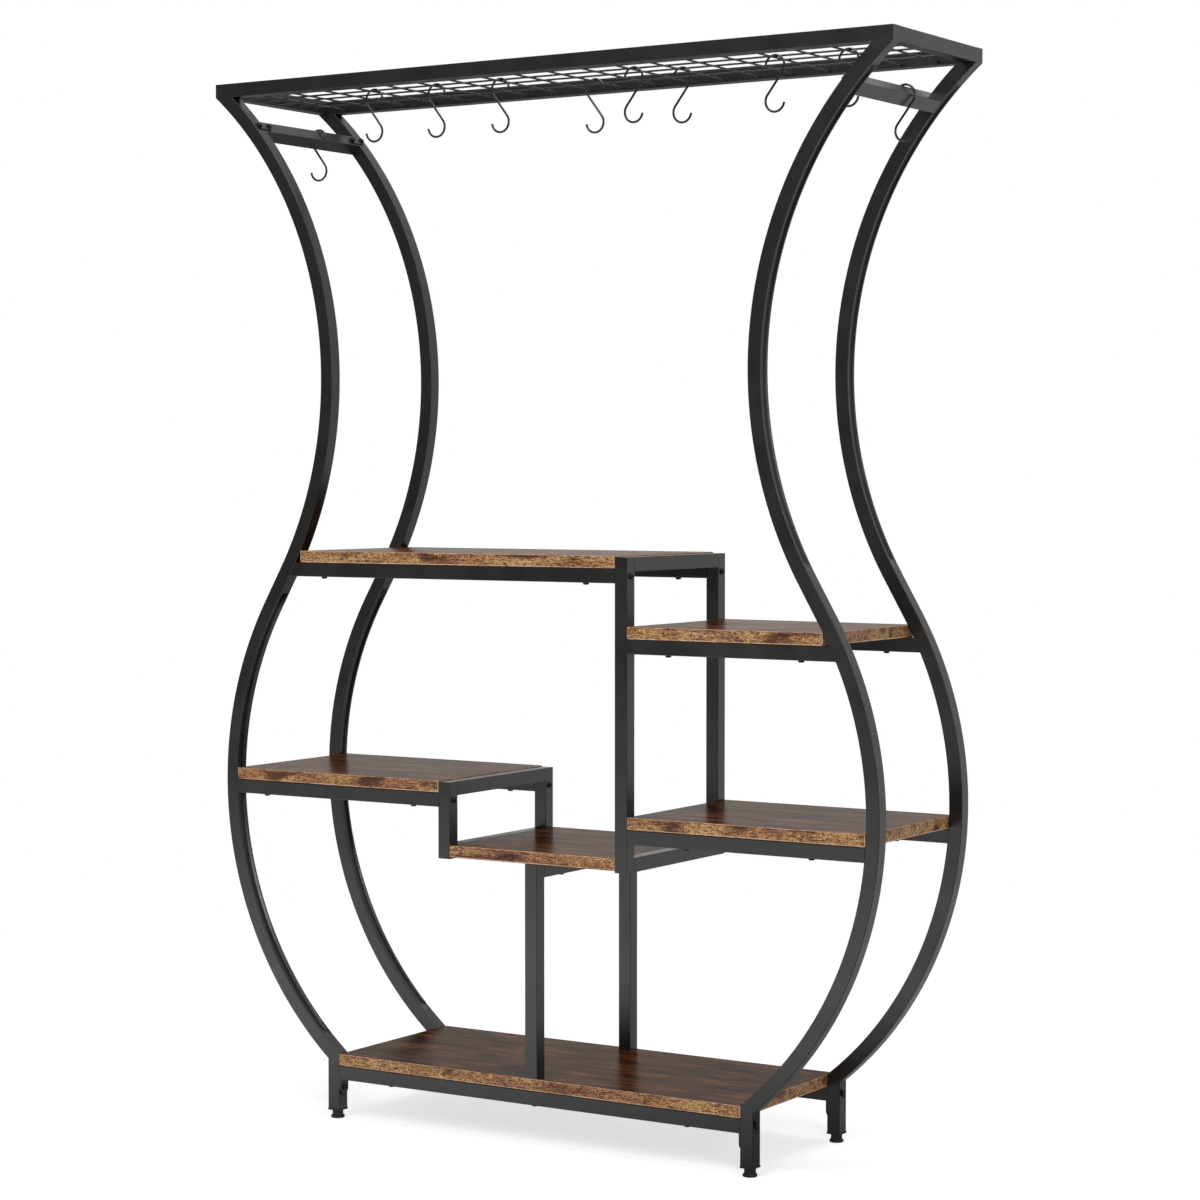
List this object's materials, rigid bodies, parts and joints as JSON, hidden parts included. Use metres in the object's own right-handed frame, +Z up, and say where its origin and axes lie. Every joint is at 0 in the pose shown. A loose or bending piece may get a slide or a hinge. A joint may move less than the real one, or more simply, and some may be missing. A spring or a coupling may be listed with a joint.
{
  "type": "plant_stand",
  "caption": "Vase-shaped plant stand: curved square-tube uprights carry staggered wood boards and a wire grid on top, with S-hooks for hanging pots and screw feet for levelling.",
  "frame": {"origin": "on the floor, under the middle of the stand", "axes": "+X to the right as the stand is looked at from the front, +Y to the rear, +Z up"},
  "size_m": [1.4, 0.3364, 1.9],
  "materials": {
    "tube": "satin black powder coat on steel",
    "wire": "black powder coat on welded wire",
    "hook": "black coat on bent wire",
    "fastener": "black oxide",
    "board": "rustic brown wood grain, satin",
    "foot": "black moulded",
    "plug": "black moulded"
  },
  "bodies": {
    "frame": {"bottom_board": "board", "bottom_rail_front": "tube", "bottom_rail_rear": "tube", "central_post_front": "tube", "central_post_rear": "tube", "centre_board": "board", "centre_cross_rails": "tube", "frame_bolts": "fastener", "left_board": "board", "left_cross_rail": "tube", "left_rail_front": "tube", "left_rail_rear": "tube", "leg_plugs": "plug", "lower_cross_rail": "tube", "lower_post_front": "tube", "lower_post_rear": "tube", "lower_upright_front_left": "tube", "lower_upright_front_right": "tube", "lower_upright_rear_left": "tube", "lower_upright_rear_right": "tube", "neck_bar_left": "tube", "neck_bar_right": "tube", "neck_straps": "tube", "right_lower_board": "board", "right_lower_rail_front": "tube", "right_lower_rail_rear": "tube", "right_upper_board": "board", "right_upper_rail_front": "tube", "right_upper_rail_rear": "tube", "shelf_screws": "fastener", "short_post_front": "tube", "short_post_rear": "tube", "splice_plugs": "plug", "top_end_rail_left": "tube", "top_end_rail_right": "tube", "top_rail_front": "tube", "top_rail_rear": "tube", "upper_left_board": "board", "upper_left_cross_rail": "tube", "upper_left_rail_front": "tube", "upper_left_rail_rear": "tube", "upper_upright_front_left": "tube", "upper_upright_front_right": "tube", "upper_upright_rear_left": "tube", "upper_upright_rear_right": "tube", "wire_grid": "wire"},
    "grid_hook_1": {"grid_hook_1": "hook"},
    "grid_hook_2": {"grid_hook_2": "hook"},
    "grid_hook_3": {"grid_hook_3": "hook"},
    "grid_hook_4": {"grid_hook_4": "hook"},
    "grid_hook_5": {"grid_hook_5": "hook"},
    "grid_hook_6": {"grid_hook_6": "hook"},
    "grid_hook_7": {"grid_hook_7": "hook"},
    "grid_hook_8": {"grid_hook_8": "hook"},
    "neck_hook_left": {"neck_hook_left": "hook"},
    "neck_hook_right": {"neck_hook_right": "hook"},
    "foot_front_left": {"foot_front_left": "foot"},
    "foot_front_right": {"foot_front_right": "foot"},
    "foot_rear_left": {"foot_rear_left": "foot"},
    "foot_rear_right": {"foot_rear_right": "foot"}
  },
  "joints": [
    {"name": "grid_hook_1_swing", "type": "hinge", "parent": "frame", "child": "grid_hook_1", "pos_m": [-0.42, -0.05275, 1.8805], "axis": [0, 1, 0], "range_deg": [-40, 40]},
    {"name": "grid_hook_2_swing", "type": "hinge", "parent": "frame", "child": "grid_hook_2", "pos_m": [-0.28, -0.05275, 1.8805], "axis": [0, 1, 0], "range_deg": [-40, 40]},
    {"name": "grid_hook_3_swing", "type": "hinge", "parent": "frame", "child": "grid_hook_3", "pos_m": [-0.14, -0.05275, 1.8805], "axis": [0, 1, 0], "range_deg": [-40, 40]},
    {"name": "grid_hook_4_swing", "type": "hinge", "parent": "frame", "child": "grid_hook_4", "pos_m": [0, 0.04225, 1.8805], "axis": [0, 1, 0], "range_deg": [-40, 40]},
    {"name": "grid_hook_5_swing", "type": "hinge", "parent": "frame", "child": "grid_hook_5", "pos_m": [0.14, -0.05275, 1.8805], "axis": [0, 1, 0], "range_deg": [-40, 40]},
    {"name": "grid_hook_6_swing", "type": "hinge", "parent": "frame", "child": "grid_hook_6", "pos_m": [0.21, -0.00525, 1.8805], "axis": [0, 1, 0], "range_deg": [-40, 40]},
    {"name": "grid_hook_7_swing", "type": "hinge", "parent": "frame", "child": "grid_hook_7", "pos_m": [0.42, -0.05275, 1.8805], "axis": [0, 1, 0], "range_deg": [-40, 40]},
    {"name": "grid_hook_8_swing", "type": "hinge", "parent": "frame", "child": "grid_hook_8", "pos_m": [0.56, -0.05275, 1.8805], "axis": [0, 1, 0], "range_deg": [-10, 40]},
    {"name": "neck_hook_left_slide", "type": "slide", "parent": "frame", "child": "neck_hook_left", "axis": [0, 1, 0], "range_m": [-0.15, 0.075]},
    {"name": "neck_hook_right_slide", "type": "slide", "parent": "frame", "child": "neck_hook_right", "axis": [0, 1, 0], "range_m": [-0.15, 0.075]},
    {"name": "foot_front_left_level", "type": "slide", "parent": "frame", "child": "foot_front_left", "axis": [0, 0, -1], "range_m": [0, 0.01]},
    {"name": "foot_front_right_level", "type": "slide", "parent": "frame", "child": "foot_front_right", "axis": [0, 0, -1], "range_m": [0, 0.01]},
    {"name": "foot_rear_left_level", "type": "slide", "parent": "frame", "child": "foot_rear_left", "axis": [0, 0, -1], "range_m": [0, 0.01]},
    {"name": "foot_rear_right_level", "type": "slide", "parent": "frame", "child": "foot_rear_right", "axis": [0, 0, -1], "range_m": [0, 0.01]}
  ]
}
